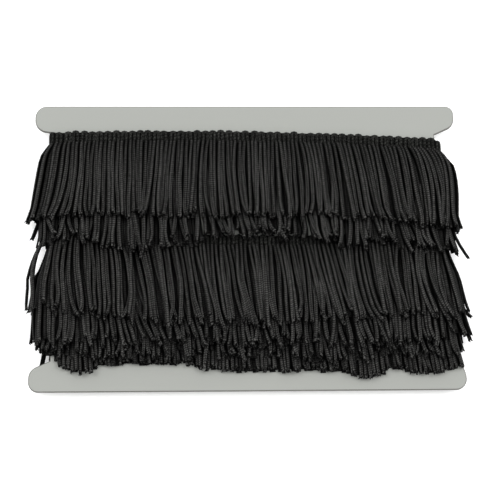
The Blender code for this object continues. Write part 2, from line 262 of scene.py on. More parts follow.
# The heading's cords, joined in pairs. A pair's loop goes up one cord and down the other. Its places sideways
# are in half pitches. Its crown lies below the top edge by a share of the cord's thickness. Each side has two
# places below the crown, one at a share of the side's height, and an end under the heading's lower edge.
LOOP_SIDEWAYS = (-1.0, -1.02, -1.05, -0.85, 0.0, 0.85, 1.05, 1.02, 1.0)
LOOP_CROWN = 0.42
LOOP_SHOULDERS = (1.2 * MM, 0.2 * MM)
LOOP_MIDDLE = 0.6
LOOP_END = 0.6 * MM
LOOP_SIDES = 6
# The width of a cord in the heading, in pitches, and how unevenly the loops stand: sideways, as a share of a
# pair's pitch, and up.
LOOP_WIDTH = 0.95
LOOP_UNEVENNESS = 0.06
LOOP_HEIGHT_SPREAD = 0.22 * MM

# The heading's rows of stitches: their depths below its top edge, and one stitch's places sideways, in half
# pitches, outwards, in half thicknesses of a cord, and down.
STITCH_ROWS = (2.2 * MM, 3.8 * MM, 5.3 * MM)
STITCH_SIDEWAYS = (-0.95, -0.6, 0.0, 0.6, 0.95)
STITCH_RISE = (-0.1, 0.62, 0.93, 0.62, -0.1)
STITCH_SLANT = np.array((-0.3, -0.15, 0.0, 0.15, 0.3)) * MM
STITCH_GAP = 0.1 * MM
STITCH_HEIGHT_SPREAD = 0.25 * MM
THREAD_SIDES = 5
THREAD_WIDTH = 0.55 * MM
THREAD_THICKNESS = 0.35 * MM

# The heading's knitted ground: its depths below the top edge, and its places round each edge of the card.
WEB_DEPTHS = np.array((0.5, 2.6, 4.4, 6.1)) * MM
WEB_EDGE_PLACES = 8
WEB_THICKNESS = 0.7 * MM


# Sizes and colours

def length_property(name, description, default):
    return bpy.props.FloatProperty(
        name=name, description=description, default=default, unit="LENGTH", precision=5, min=0.0
    )


def colour_property(name, description, default):
    return bpy.props.FloatVectorProperty(
        name=name, description=description, default=default, subtype="COLOR", size=3, min=0.0, max=1.0
    )


def number_property(name, description, default):
    return bpy.props.FloatProperty(name=name, description=description, default=default)


def angle_property(name, description, degrees):
    return bpy.props.FloatProperty(
        name=name, description=description, default=math.radians(degrees), subtype="ANGLE"
    )


class CardSettings(bpy.types.PropertyGroup):
    edge_rounding: length_property("Edge rounding", "Radius of the die-cut edge", 0.45 * MM)
    face_colour: colour_property("Face", "Smooth pale grey face of the board", (0.298, 0.306, 0.286))
    # The cut edge is darker than the face: partly its own grey pulp, partly painted shade along the rim.
    cut_edge_colour_and_shade: colour_property("Cut edge", "Grey pulp on the die-cut edge, darkened further with painted shade", (0.12, 0.12, 0.11))


class FringeSettings(bpy.types.PropertyGroup):
    drop: length_property("Drop", "Whole height of the fringe, heading and strands", 50.8 * MM)
    heading_height: length_property("Heading height", "Height of the stitched heading", 6.4 * MM)
    strand_width: length_property("Strand width", "Width of one knitted strand", 2.45 * MM)
    strand_thickness: length_property("Strand thickness", "Thickness of a strand that lies flat", 1.8 * MM)
    under_width: length_property("Under width", "Width of the strands pressed flat behind", 3.4 * MM)
    under_thickness: length_property("Under thickness", "Thickness of the strands pressed behind", 1.0 * MM)
    lift: length_property("Lift", "How far the front strands lie out over those behind them", 1.0 * MM)
    length_spread: length_property("Length spread", "How much the strands differ in length", 1.2 * MM)
    clump_length: length_property("Clump length", "How much whole clumps differ in length", 0.8 * MM)
    clump_spread: length_property("Clump spread", "How far clumps of strands lean apart", 0.95 * MM)
    clump_draw: number_property("Clump draw", "Share of the way that strands are drawn together", 0.05)
    stray_share: number_property("Strays", "Share of the strands that cross their neighbours", 0.12)
    stray_reach: length_property("Stray reach", "How far a straying strand leans", 2.6 * MM)
    curl: length_property("Curl", "How far the strand tips curl aside", 0.8 * MM)
    tip_lift: length_property("Tip lift", "How far the strand tips curl up, off what they lie on", 1.2 * MM)
    loose_end: length_property("Loose ends", "How far the longest loose yarn hangs from a cut tip", 1.4 * MM)
    loose_end_width: length_property("Loose end width", "Width of one loose yarn", 0.7 * MM)
    wave: length_property("Wave", "How far the strands wave from side to side", 0.35 * MM)
    seed: bpy.props.IntProperty(
        name="Seed", description="Another number lays the strands another way", default=7
    )
    yarn_colour: colour_property("Yarn", "Black yarn where the light catches it", (0.063, 0.0625, 0.0603))
    shaded_yarn_colour: colour_property("Deep yarn", "Yarn of the strands behind, darkened as painted shade", (0.03, 0.0298, 0.0288))
    stitch_and_flank_shade_colour: colour_property("Hollows", "Painted shade between the stitches and down the cords' flanks", (0.003, 0.003, 0.0029))
    tip_shade_speckle: number_property("Frayed tips", "How far fibre noise lifts and deepens the painted shade at the cut tips", 1.1)
    stitch_shade_lightness: number_property("Stitch floor", "How light the painted shade between the stitches leaves the yarn", 0.05)
    root_shade_tone: number_property("Root tone", "How light the painted shade leaves the yarn at its root, by the heading", 0.64)
    heading_colour: colour_property("Heading", "Stitched heading, a little greener", (0.036, 0.0371, 0.034))


class StageSettings(bpy.types.PropertyGroup):
    floor_size: length_property("Floor size", "Side of the square floor", 6.0)
    floor_colour: colour_property("Floor", "Pale floor", (0.93, 0.93, 0.93))
    floor_glow: number_property("Floor glow", "Light that the floor gives off, as a light table does", 0.3)
    camera_distance: length_property("Camera distance", "From the camera to the card's middle", 0.7815)
    camera_tilt: angle_property("Camera tilt", "How far the camera leans from straight above", 14.86)
    camera_turn: angle_property("Camera turn", "How far round the card from its middle line", -7.64)
    camera_roll: angle_property("Camera roll", "How far the picture is turned", 7.2)
    focal_length: number_property("Focal length", "Focal length in millimetres on a 36 mm sensor", 100.5)
    shift: number_property("Shift", "Sideways shift of the lens, as a share of the picture", 0.0059)
    key_power: bpy.props.FloatProperty(
        name="Side lights", description="Power of each of the two soft side lights", default=7.2, unit="POWER"
    )
    sky_strength: number_property("Sky", "Strength of the even light from overhead", 0.78)
    horizon_strength: number_property("Horizon", "Strength of the pale backdrop all round", 1.1)


# The winding's rules

def between(a, b, share):
    return a + (b - a) * share


def clamped(value):
    return np.clip(value, 0.0, 1.0)


def past(share, start):
    """0 up to the start, and then evenly up to 1 at a strand's tip."""
    return clamped((share - start) / (1 - start))


def eased(value):
    value = clamped(value)
    return value * value * (3 - 2 * value)


def read_off(knots, x):
    """The values at x of a curve that eases from knot to knot."""
    places, values = np.array(knots).T
    x = np.clip(x, places[0], places[-1])
    left = np.clip(np.searchsorted(places, x) - 1, 0, len(places) - 2)
    share = (x - places[left]) / (places[left + 1] - places[left])
    return between(values[left], values[left + 1], eased(share))


def front_top(turn, x):
    """The height of a turn's heading on the front: a parabola through its left, middle and right heights."""
    row = TURNS[turn]
    u = x / EDGE_X
    return row.middle + (row.right - row.left) / 2 * u + ((row.left + row.right) / 2 - row.middle) * u * u


def back_top(turn, x):
    """The height of a turn's heading on the back, where it climbs from right to left to the next turn."""
    if turn == STUB:
        return TURNS[0].left - FIRST_CLIMB * (x + EDGE_X) / (2 * EDGE_X)
    start = TURNS[turn].right
    if turn == LAST_TURN:
        return start - OUTER_EDGE_FALL - OUTER_END_FALL * (EDGE_X - x) / (EDGE_X - OUTER_END_X)
    return between(start, TURNS[turn + 1].left, (EDGE_X - x) / (2 * EDGE_X))


def back_presence(turn, x):
    """1 where a turn's strip passes this x on the back, and 0 past its loose end."""
    if turn == STUB:
        return np.where(x < INNER_END_X, 1.0, 0.0)
    if turn == LAST_TURN:
        return np.where(x > OUTER_END_X, 1.0, 0.0)
    return np.ones_like(x)


def front_lean(turn, x):
    row = TURNS[turn]
    leans = np.array(row.leans) * MM
    return read_off(((-EDGE_X, -row.flare_left), *leans, (EDGE_X, row.flare_right)), x)


def front_bend(turn, x):
    return read_off(np.array(TURNS[turn].bends) * MM, x)


def edge_fall(turn, side, angle):
    """How far the last turn's heading drops as it passes round the card's right edge."""
    if turn != LAST_TURN or side != "right":
        return np.zeros_like(angle)
    return OUTER_EDGE_FALL * np.where(angle > 0, np.cos(angle), 1.0)


def back_lean(turn, x, drop):
    """On the back a strand hangs between straight down and square to its slanting heading."""
    right = TURNS[max(turn, 0)].flare_right
    left = TURNS[min(turn + 1, LAST_TURN)].flare_left
    slope = (back_top(turn, EDGE_X) - back_top(turn, -EDGE_X)) / (2 * EDGE_X)
    near = EDGE_X - STRAIGHTENING_REACH
    sideways = slope * drop / 2
    return read_off(((-EDGE_X, -left), (-near, sideways), (near, sideways), (EDGE_X, right)), x)


def level_at(y, root_y, stretch, x, drop):
    """How many layers out from the card the strip lies, at heights y along the card."""
    def climb(top):
        return clamped((top + CLIMB_CLEARANCE + CLIMB_REACH - y) / CLIMB_REACH)

    if stretch.side == "front":
        return sum((climb(front_top(turn, x)) for turn in range(stretch.turn)), np.zeros_like(y))
    if stretch.side != "back":
        tops = [getattr(TURNS[turn], stretch.side) for turn in range(stretch.turn)]
        return sum((climb(top) for top in tops), np.zeros_like(y))
    on_card = np.zeros_like(y)
    on_floor = np.full_like(y, BACK_LAYERS - 1)
    for turn in range(STUB, LAST_TURN + 1):
        top, there = back_top(turn, x), back_presence(turn, x)
        if turn < stretch.turn:
            on_card += there * climb(top)
        if turn > stretch.turn:
            on_floor -= there * clamped((y - top + drop + TIP_MARGIN + CLIMB_REACH) / CLIMB_REACH)
    return between(on_card, np.maximum(on_card, on_floor), clamped((root_y - y) / SAG_REACH))


def wound_stretches():
    """The strip's stretches in winding order, from its inner end on the back to its outer end there."""
    pitch = 2 * WRAP_X / FACE_PAIRS
    found = [Stretch("back", STUB, INNER_END_X, -WRAP_X, round((WRAP_X + INNER_END_X) / pitch))]
    for turn in range(LAST_TURN + 1):
        end = OUTER_END_X if turn == LAST_TURN else -WRAP_X
        found.append(Stretch("left", turn, math.radians(270), math.radians(90), EDGE_PAIRS))
        found.append(Stretch("front", turn, -WRAP_X, WRAP_X, FACE_PAIRS))
        found.append(Stretch("right", turn, math.radians(90), math.radians(-90), EDGE_PAIRS))
        found.append(Stretch("back", turn, WRAP_X, end, round((WRAP_X - end) / pitch)))
    return found


def places_on(stretch, shares, drop):
    """Where the strip lies at these shares of a stretch."""
    run = between(stretch.start, stretch.end, np.asarray(shares, float))
    none, one = np.zeros_like(run), np.ones_like(run)
    if stretch.side in FACES:
        up = 1 if stretch.side == "front" else -1
        foot_z = CARD_HIGH.z if stretch.side == "front" else CARD_LOW.z
        foot = np.stack([run, none, none + foot_z], 1)
        out = np.stack([none, none, up * one], 1)
        along = np.stack([up * one, none, none], 1)
        if stretch.side == "front":
            top, lean = front_top(stretch.turn, run), front_lean(stretch.turn, run)
        else:
            top, lean = back_top(stretch.turn, run), back_lean(stretch.turn, run, drop)
    else:
        row = TURNS[stretch.turn]
        sign = 1 if stretch.side == "right" else -1
        flare = row.flare_right if stretch.side == "right" else -row.flare_left
        out = np.stack([np.cos(run), none, np.sin(run)], 1)
        along = np.stack([np.sin(run), none, -np.cos(run)], 1)
        foot = np.array([sign * WRAP_X, 0, CARD_MIDDLE_Z]) + out * (CARD_HIGH.z - CARD_MIDDLE_Z)
        top = getattr(row, stretch.side) - edge_fall(stretch.turn, stretch.side, run)
        lean = none + flare
    return Places(foot, out, along, top, lean, bow_at(stretch, foot[:, 0]))


def bow_at(stretch, x):
    """How far a strand's middle bulges outwards, which fades out away from the card's edges."""
    row = TURNS[max(stretch.turn, 0)]
    near = clamped(1 - (EDGE_X - np.abs(x)) / STRAIGHTENING_REACH)
    return np.where(x > 0, row.bow_right, -row.bow_left) * near * near


# Tubes carried along paths

def unit(vectors):
    return vectors / np.linalg.norm(vectors, axis=-1, keepdims=True)


def finished(mesh, name):
    """The mesh that was built, as data for an object."""
    data = bpy.data.meshes.new(name)
    mesh.to_mesh(data)
    mesh.free()
    return data


def tube_blank(sides, marks, hollow_end):
    """A straight tube of radius 1 along +Y, with a ring of corners at each whole number.

    Its UV map has the share of the way round in U, and each ring's mark in V. A hollow end is cut off square
    and has one ring more, inside it.
    """
    mesh = bmesh.new()
    twist = Matrix.Rotation(math.pi / 2 - math.pi / sides, 4, "Z")
    upright = Matrix.Rotation(math.radians(-90), 4, "X") @ twist
    start = bmesh.ops.create_circle(mesh, cap_ends=True, segments=sides, radius=1.0, matrix=upright)
    end = start["verts"][0].link_faces[0]
    end.copy(verts=False, edges=False).normal_flip()
    for _ in marks[1:]:
        end = bmesh.ops.extrude_discrete_faces(mesh, faces=[end])["faces"][0]
        bmesh.ops.translate(mesh, verts=end.verts, vec=(0, 1, 0))
    rim = list(end.edges)
    if hollow_end:
        end = bmesh.ops.extrude_discrete_faces(mesh, faces=[end])["faces"][0]
        bmesh.ops.translate(mesh, verts=end.verts, vec=(0, 1, 0))
    bmesh.ops.recalc_face_normals(mesh, faces=mesh.faces)
    layer = mesh.loops.layers.uv.new("UVMap")
    for face in mesh.faces:
        face.smooth = len(face.verts) == 4
        middle = face.calc_center_median()
        turned = math.atan2(middle.z, middle.x) / math.tau % 1
        for loop in face.loops:
            corner = loop.vert.co
            share = math.atan2(corner.z, corner.x) / math.tau
            around = turned + (share - turned + 0.5) % 1 - 0.5
            loop[layer].uv = (around, marks[min(round(corner.y), len(marks) - 1)])
    for edge in rim:
        edge.smooth = False
    return finished(mesh, "tube")


def repeated(blank, count):
    """The blank repeated by an array, each copy with its UVs one unit further along U."""
    holder = bpy.data.objects.new("blank", blank)
    bpy.context.scene.collection.objects.link(holder)
    copies = holder.modifiers.new("Copies", "ARRAY")
    copies.count = count
    copies.use_relative_offset = False
    copies.offset_u = 1.0
    seen = holder.evaluated_get(bpy.context.evaluated_depsgraph_get())
    data = bpy.data.meshes.new_from_object(seen)
    bpy.data.objects.remove(holder)
    return data


def tubes(name, blank, centres, outs, widths, thicknesses, materials, which=0):
    """Carries a copy of the blank along each path.

    Every array has a row for each path and a column for each ring. Which is the number of each path's
    material.
    """
    corners = np.empty(len(blank.vertices) * 3)
    blank.vertices.foreach_get("co", corners)
    across, ring, out = corners.reshape(-1, 3).T
    across, out = (np.sign(place) * np.abs(place) ** SQUARENESS for place in (across, out))
    ring = ring.round().astype(int)
    last = centres.shape[1] - 1
    tangents = unit(np.gradient(centres, axis=1))
    sides = unit(np.cross(tangents, outs))
    lifts = np.cross(sides, tangents)
    if ring.max() > last:
        bottom = centres[:, -1:] - tangents[:, -1:] * thicknesses[:, -1:, None] * HOLLOW_DEPTH
        centres = np.concatenate([centres, bottom], 1)
        sides, lifts = (np.concatenate([rows, rows[:, -1:]], 1) for rows in (sides, lifts))
        widths, thicknesses = (
            np.concatenate([rows, rows[:, -1:] * HOLLOW_WIDTH], 1) for rows in (widths, thicknesses)
        )
    carried = (
        centres[:, ring]
        + sides[:, ring] * (widths[:, ring] / 2 * across)[..., None]
        + lifts[:, ring] * (thicknesses[:, ring] / 2 * out)[..., None]
    )
    data = repeated(blank, len(centres))
    data.vertices.foreach_set("co", carried.ravel())
    for material in materials:
        data.materials.append(material)
    finishes = np.repeat(np.broadcast_to(which, len(centres)), len(blank.polygons))
    data.polygons.foreach_set("material_index", finishes.astype("int32"))
    data.update()
    add_piece(name, data, "fringe")


def add_piece(name, data, node):
    """Adds a piece of the object, which rides on its one body and stands for a node of the frame."""
    data.name = name
    piece = bpy.data.objects.new(name, data)
    bpy.context.scene.collection.objects.link(piece)
    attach(piece, "root")
    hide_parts(node)


# The heading

def heading_height_out(depth, places, stretch, settings):
    """How far out from the card the heading's inner face lies, at a depth below its top edge."""
    root_y = places.top - settings.heading_height
    drop = settings.drop - settings.heading_height
    low = LAYER_PITCH * HEADING_TILT * level_at(root_y, root_y, stretch, places.foot[:, 0], drop)
    return SEAT_GAP + low * depth / settings.heading_height


def on_heading(places, stretch, settings, along, depth, rise):
    """Points on the heading: sideways along it, down from its top edge, and out from its middle layer."""
    found = []
    for a, d, r in zip(along, depth, rise):
        out = heading_height_out(d, places, stretch, settings) + settings.strand_thickness / 2 + r
        point = places.foot + places.along * a + places.out * out[:, None]
        point[:, 1] = places.top - d
        found.append(point)
    return np.stack(found, 1)


def add_threads(name, sides, centres, outs, width, thickness, material):
    """Carries threads of one even size through the heading."""
    centres, outs = np.concatenate(centres), np.concatenate(outs)
    widths, thicknesses = (np.full(centres.shape[:2], size) for size in (width, thickness))
    blank = tube_blank(sides, np.linspace(0, 1, centres.shape[1]), False)
    tubes(name, blank, centres, outs, widths, thicknesses, [material])


def add_loops(settings, chance, material):
    """The strands' cords run up through the heading in pairs, each pair joined by a loop at the top edge."""
    along = np.array(LOOP_SIDEWAYS) * STRAND_PITCH / 2
    crown = settings.strand_thickness * LOOP_CROWN
    low = settings.heading_height + LOOP_END
    side = [low, low * LOOP_MIDDLE, *(crown + shoulder for shoulder in LOOP_SHOULDERS)]
    depth = [*side, crown, *reversed(side)]
    centres, outs = [], []
    for stretch in wound_stretches():
        aside = chance.normal(0, LOOP_UNEVENNESS, stretch.pairs)
        shares = (np.arange(stretch.pairs) + 0.5 + aside) / stretch.pairs
        places = places_on(stretch, shares, settings.drop - settings.heading_height)
        uneven = places._replace(top=places.top + chance.normal(0, LOOP_HEIGHT_SPREAD, len(places.top)))
        centres.append(on_heading(uneven, stretch, settings, along, depth, [0] * len(along)))
        outs.append(np.repeat(places.out[:, None], len(along), 1))
    width, thickness = STRAND_PITCH * LOOP_WIDTH, settings.strand_thickness
    add_threads("heading_loops", LOOP_SIDES, centres, outs, width, thickness, material)


def add_stitches(settings, chance, material):
    """Rows of thread cross the heading, with a short arched stitch over each cord."""
    along = np.array(STITCH_SIDEWAYS) * STRAND_PITCH / 2
    rise = np.array(STITCH_RISE) * settings.strand_thickness / 2 + STITCH_GAP
    centres, outs = [], []
    for stretch in wound_stretches():
        count = 2 * stretch.pairs
        shares = (np.arange(count) + 0.5) / count
        places = places_on(stretch, shares, settings.drop - settings.heading_height)
        for row_depth in STITCH_ROWS:
            uneven = places._replace(top=places.top + chance.normal(0, STITCH_HEIGHT_SPREAD, count))
            centres.append(on_heading(uneven, stretch, settings, along, row_depth + STITCH_SLANT, rise))
            outs.append(np.repeat(places.out[:, None], len(along), 1))
    add_threads("heading_stitches", THREAD_SIDES, centres, outs, THREAD_WIDTH, THREAD_THICKNESS, material)


def add_web(settings, material):
    """The knitted ground of the heading fills the gaps between its cords: a band wound with the strip."""
    rows = []
    straight = np.zeros(len(WEB_DEPTHS))
    for stretch in wound_stretches():
        count = stretch.pairs if stretch.side in FACES else WEB_EDGE_PLACES
        shares = np.linspace(0, 1, count + 1)[:-1]
        places = places_on(stretch, shares, settings.drop - settings.heading_height)
        rows.append(on_heading(places, stretch, settings, straight, WEB_DEPTHS, straight))
    points = np.concatenate(rows)
    mesh = bmesh.new()
    bmesh.ops.create_grid(mesh, x_segments=len(points) - 1, y_segments=len(WEB_DEPTHS) - 1, size=0.5)
    for vertex in mesh.verts:
        station = round((vertex.co.x + 0.5) * (len(points) - 1))
        depth = round((0.5 - vertex.co.y) * (len(WEB_DEPTHS) - 1))
        vertex.co = points[station, depth]
    bmesh.ops.solidify(mesh, geom=mesh.faces[:], thickness=WEB_THICKNESS)
    bmesh.ops.recalc_face_normals(mesh, faces=mesh.faces)
    data = finished(mesh, "heading_web")
    # With no UV map its yarn takes the stitch and flank shade colour all over: a band of painted shade
    # between the cords.
    data.materials.append(material)
    add_piece("heading_web", data, "fringe")


# The strands

class Pile:
    """How far out the strands that are laid so far hold up the next one, over one face of the card."""

    CELL_X, CELL_Y = 0.25 * MM, 1.0 * MM
    REACH_X, REACH_Y = 135 * MM, 85 * MM
    # How near the next strand's middle has to come to touch, as a share of a strand's width.
    TOUCH = 0.82

    def __init__(self, width, thickness):
        self.held = np.zeros((round(2 * self.REACH_Y / self.CELL_Y), round(2 * self.REACH_X / self.CELL_X)))
        touch = self.TOUCH * width
        cells = round(touch / self.CELL_X)
        self.steps = np.arange(-cells, cells + 1)
        self.crown = thickness * (1 - (self.steps * self.CELL_X / touch) ** 2)

    def cells(self, x, y):
        return (
            ((y + self.REACH_Y) / self.CELL_Y).astype(int),
            ((x + self.REACH_X) / self.CELL_X).astype(int),
        )

    def under(self, x, y):
        return self.held[self.cells(x, y)]

    def lay(self, x, y, height):
        rows, columns = self.cells(x, y)
        spots = (rows[:, None], columns[:, None] + self.steps)
        np.maximum.at(self.held, spots, height[:, None] + self.crown)


def ridden(height, reach=3, soft=4):
    """Heights that a stiff cord takes over these supports: it bridges dips and bends smoothly."""
    windows = np.lib.stride_tricks.sliding_window_view(np.pad(height, reach, mode="edge"), 2 * reach + 1)
    kernel = np.hanning(2 * soft + 3)[1:-1]
    return np.convolve(np.pad(windows.max(1), soft, mode="edge"), kernel / kernel.sum(), mode="valid")


def clumps(count, chance):
    """The number of the clump of one to four strands that each of a row's strands is in."""
    return np.repeat(np.arange(count), chance.integers(1, LARGEST_CLUMP + 1, count))[:count]


def clump_shifts(clump, chance, settings):
    """Sideways shifts of strands that lean together in clumps, and are drawn towards their clump's middle."""
    order = np.arange(len(clump))
    middle = (np.bincount(clump, order) / np.maximum(np.bincount(clump), 1))[clump]
    leans = chance.normal(0, settings.clump_spread, len(clump))[clump]
    leans += chance.normal(0, settings.clump_spread * OWN_LEAN, len(clump))
    return leans - settings.clump_draw * STRAND_PITCH * (order - middle)


def lean_share(share):
    """How much of its sideways reach a strand has used up, that share of the way to its tip."""
    return share * (LEAN_EARLY + LEAN_LATE * share)


def strand_paths(stretch, layer, chance, settings):
    """The sideways and lengthwise run of each strand of a stretch, at evenly spaced samples."""
    count = 2 * stretch.pairs
    share = np.linspace(0, 1, STRAND_SAMPLES)
    free = settings.drop - settings.heading_height
    uneven = chance.normal(0, ROOT_UNEVENNESS, count) * layer.looseness
    places = places_on(stretch, (np.arange(count) + layer.offset + uneven) / count, free)
    untidy = TURNS[max(stretch.turn, 0)].loose
    loose = layer.looseness * (untidy if stretch.side == "front" else BACK_LOOSENESS)
    run = 1 if stretch.side in ("front", "left") else -1
    clump = clumps(count, chance)
    tip = clump_shifts(clump, chance, settings) * run * loose
    middle = clump_shifts(clumps(count, chance), chance, settings) * run * loose
    strays = chance.random(count) < settings.stray_share * loose
    tip = tip + (strays * chance.normal(0, settings.stray_reach, count) if layer.lift else 0.0)
    numbers = range(count) if layer.lift else ()
    astray = np.zeros(count)
    for number in numbers:
        astray[number] = STRAYS.get((stretch.side, stretch.turn, number), 0.0)
    bend = front_bend(stretch.turn, places.foot[:, 0]) if stretch.side == "front" else np.zeros(count)
    bow, lean = places.bow, places.lean
    if (stretch.side, stretch.turn) in STAND_OFF:
        apart = STAND_OFF[stretch.side, stretch.turn]
        bow = bow + (apart if layer.lift else apart[0])
        lean = lean * (1.0 if layer.lift else BEHIND_LEAN)
    curl = chance.normal(0, settings.curl, count) * loose
    wave = chance.normal(0, settings.wave, count) * loose
    phase = chance.uniform(0, math.tau, count)
    root_y = places.top - settings.heading_height
    tip_y = root_y - free
    if stretch.side != "back":
        tip_y = read_off(np.array(TURNS[stretch.turn].tips) * MM, places.foot[:, 0] + places.lean + tip)
    tip_y += chance.normal(0, settings.length_spread, count) * untidy
    tip_y += chance.normal(0, settings.clump_length, count)[clump] * untidy * layer.looseness
    if stretch.side not in FACES:
        in_front = places.out[:, 2] > FRONT_FACING
        tip_y = np.where(in_front, tip_y, np.maximum(tip_y, EDGE_TIP_LIMIT))
    for number in numbers:
        tip_y[number] = LONG_TIPS.get((stretch.side, stretch.turn, number), tip_y[number])
    y = root_y[:, None] - np.outer(root_y - tip_y, share)
    sideways = (
        np.outer(lean, lean_share(share))
        + np.outer(bow, np.sin(math.pi * share ** BOW_SLANT))
        + np.outer(tip, share ** TIP_BEND)
        + np.outer(middle * MIDDLE_SHIFT, np.sin(math.pi * share))
        + np.outer(bend, 4 * share * (1 - share))
        + np.outer(astray, past(share, STRAY_START) ** STRAY_BEND)
        + np.outer(curl, past(share, CURL_START) ** 2)
        + wave[:, None] * np.sin(phase[:, None] + share * WAVE_ANGLE) * share
    )
    return places, root_y, y, sideways


def strand_heights(stretch, layer, places, root_y, y, sideways, pile, chance, settings):
    """How far out from the card each strand's inner face lies. Those in front are laid one by one."""
    free = settings.drop - settings.heading_height
    x = places.foot[:, :1] + sideways
    level = level_at(y, root_y[:, None], stretch, places.foot[:, :1], free)
    share = clamped((root_y[:, None] - y) / free)
    steepness = FACE_STEEPNESS if stretch.side in FACES else EDGE_STEEPNESS
    rise = between(HEADING_TILT, 1.0, clamped(share * steepness))
    rule = SEAT_GAP + LAYER_PITCH * level * rise + layer.lift * clamped(share * ROOT_STEEPNESS)
    room = CARD_LOW.z - layer.thickness if stretch.side == "back" else math.inf
    rule = np.minimum(rule, room)
    if layer.lift == 0 or pile is None:
        return rule
    heights = np.empty_like(y)
    for i in chance.permutation(len(y)):
        held = np.minimum(pile.under(x[i], y[i]), rule[i] + PILE_LIMIT)
        rest = ridden(np.maximum(held * clamped(share[i] * PILE_STEEPNESS), rule[i]))
        heights[i] = np.clip(rest, rule[i], room)
        pile.lay(x[i], y[i], heights[i])
    lifted = np.abs(chance.normal(0, settings.tip_lift, len(y)))
    return np.minimum(heights + lifted[:, None] * past(share, TIP_LIFT_START) ** 2, room)


def loose_ends(centres, outs, chance, settings):
    """The paths of short loose yarns that splay from each strand's cut tip, and the way out at each."""
    fall = unit(centres[:, -1] - centres[:, -2])
    tips, down, out = (np.repeat(rows, LOOSE_ENDS, 0) for rows in (centres[:, -1], fall, outs[:, -1]))
    side = unit(np.cross(down, out))
    across, up, own_across, own_up = chance.uniform(-1, 1, (4, len(tips), 1))
    reach = chance.uniform(LOOSE_END_SHORTEST, 1.0, (len(tips), 1)) * settings.loose_end
    wide, thick = LOOSE_END_SPREAD
    start = tips - down * LOOSE_END_ROOT
    start += side * across * wide * settings.strand_width + out * up * thick * settings.strand_thickness
    splay = side * (SPLAY_BY_PLACE * across + SPLAY_BY_ITSELF[0] * own_across)
    splay += out * (SPLAY_BY_PLACE * up + SPLAY_BY_ITSELF[1] * own_up)
    middle = start + down * (LOOSE_END_ROOT + LOOSE_END_HANG[0] * reach) + splay * LOOSE_END_SPLAY[0] * reach
    end = middle + down * LOOSE_END_HANG[1] * reach + splay * LOOSE_END_SPLAY[1] * reach
    paths = np.stack([start, middle, end], 1)
    paths[..., 2] = np.maximum(paths[..., 2], settings.loose_end_width)
    return paths, np.repeat(out[:, None], len(LOOSE_END_MARKS), 1)


def add_loose_ends(ends, settings, material):
    """All loose yarns at the strands' cut tips, as one piece."""
    centres, outs = (np.concatenate(rows) for rows in zip(*ends))
    widths = np.full((len(centres), 1), settings.loose_end_width) * np.array(LOOSE_END_TAPER)
    blank = tube_blank(LOOSE_END_SIDES, LOOSE_END_MARKS, False)
    tubes("loose_yarn_ends", blank, centres, outs, widths, widths, [material])


def add_strands(name, stretches, piles, chance, settings, materials):
    """All strands of one turn, as tubes whose cut ends are hollow: one layer behind, and the one in front.

    Gives back the paths of the loose yarns at the front ones' tips.
    """
    wanted = np.array(STRAND_RINGS) * (STRAND_SAMPLES - 1)
    samples = np.arange(STRAND_SAMPLES)
    centres, outs, thicknesses, widths, which = [], [], [], [], []
    # The layer behind takes material 0, the yarn darkened as painted shade.
    layers = (
        Layer(0.0, 0.0, settings.under_thickness, settings.under_width, UNDER_LOOSENESS),
        Layer(FRONT_OFFSET, settings.lift, settings.strand_thickness, settings.strand_width, 1.0),
    )
    for stretch, layer in itertools.product(stretches, layers):
        places, root_y, y, sideways = strand_paths(stretch, layer, chance, settings)
        pile = piles.get(stretch.side)
        heights = strand_heights(stretch, layer, places, root_y, y, sideways, pile, chance, settings)
        points = places.foot[:, None] + places.out[:, None] * (heights + layer.thickness / 2)[..., None]
        points[..., 0] += sideways
        points[..., 1] = y
        floor_gap = layer.thickness / 2 if stretch.side in FACES else layer.width * EDGE_FLOOR_GAP
        points[..., 2] = np.maximum(points[..., 2], floor_gap)
        rings = [[np.interp(wanted, samples, path[:, axis]) for axis in range(3)] for path in points]
        centres.append(np.swapaxes(np.array(rings), 1, 2))
        outs.append(np.repeat(places.out[:, None], len(wanted), 1))
        thicknesses.append(np.full((len(points), 1), layer.thickness))
        widths.append(layer.width * chance.normal(1.0, WIDTH_SPREAD, (len(points), 1)))
        which += [layers.index(layer)] * len(points)
    centres, outs, thicknesses, widths = (
        np.concatenate(rows) for rows in (centres, outs, thicknesses, widths)
    )
    swell = np.interp(STRAND_RINGS, *np.transpose(STRAND_SWELL))
    ends = past(np.array(STRAND_RINGS), TIP_START)
    widths = widths * (swell + ends * chance.normal(0.0, TIP_WIDTH_SPREAD, (len(widths), 1)))
    blank = tube_blank(STRAND_SIDES, STRAND_RINGS, True)
    tubes(name, blank, centres, outs, widths, thicknesses * swell, materials, which)
    front = np.array(which) == 1
    return loose_ends(centres[front], outs[front], chance, settings)


# Materials

# The knits, as columns round a cord and stitches along it.
STRAND_KNIT = (4, 38)
HEADING_KNIT = (5, 9)
THREAD_KNIT = (2, 3)
# How steeply a stitch's two halves slant, and how flat the top of its column is.
STITCH_STEEPNESS = 0.7
COLUMN_FLATNESS = 3.0
# The share of the way round a cord at its crown, and how its flanks darken with painted shade: the cosines of
# the turn from the crown, below which they are in full painted shade and above which they have none.
CROWN_SHARE = 0.25
FLANK_SHADE = {"Dark below": 0.52, "Light above": 0.72}
# The most that strands differ in how far their stitches turn round them, in columns, and in where these
# start, in stitches. Each column starts this much of a stitch after the one before.
TWIST_SPREAD = 3.0
START_SPREAD = 7.0
COLUMN_STEP = 0.25
# Fibres of the yarn and of its frayed tips.
YARN_FIBRES = {"Scale": 800.0, "Contrast": 2.8}
FRAYED_FIBRES = {"Scale": 1100.0, "Contrast": 7.0}
